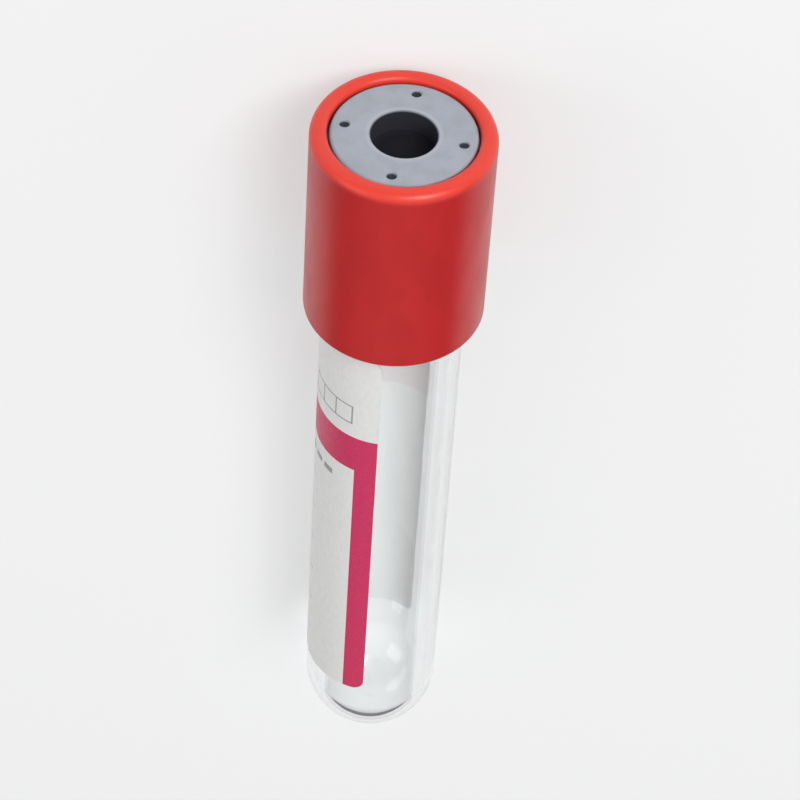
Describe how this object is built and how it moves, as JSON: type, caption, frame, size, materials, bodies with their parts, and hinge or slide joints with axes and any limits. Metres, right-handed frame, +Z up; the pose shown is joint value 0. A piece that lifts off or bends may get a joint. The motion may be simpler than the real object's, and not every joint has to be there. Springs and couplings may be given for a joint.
{
  "type": "blood collection tube",
  "caption": "Round-bottomed clear tube with a red cap over a rubber stopper and a printed label wrapped part-way round it.",
  "frame": {"origin": "on the floor, under the middle of the lying tube's bounding box", "axes": "+Z up from the floor; the tube lies along Y with its cap towards +Y, its axis raised 1.88 degrees at the cap; +X to the side"},
  "size_m": [0.0164, 0.081, 0.0171],
  "materials": {
    "clear_plastic": "clear moulded plastic",
    "grey_rubber": "matt grey butyl rubber",
    "red_plastic": "red moulded plastic with a soft gloss",
    "label_paper": "white printed paper label"
  },
  "bodies": {
    "tube_body": {"tube": "clear_plastic", "label": "label_paper"},
    "closure": {"safety_cap": "red_plastic", "rubber_stopper": "grey_rubber"}
  },
  "joints": [
    {"name": "closure_pull", "type": "slide", "parent": "tube_body", "child": "closure", "axis": [0, 0.9995, 0.0328], "range_m": [0, 0.04]}
  ]
}
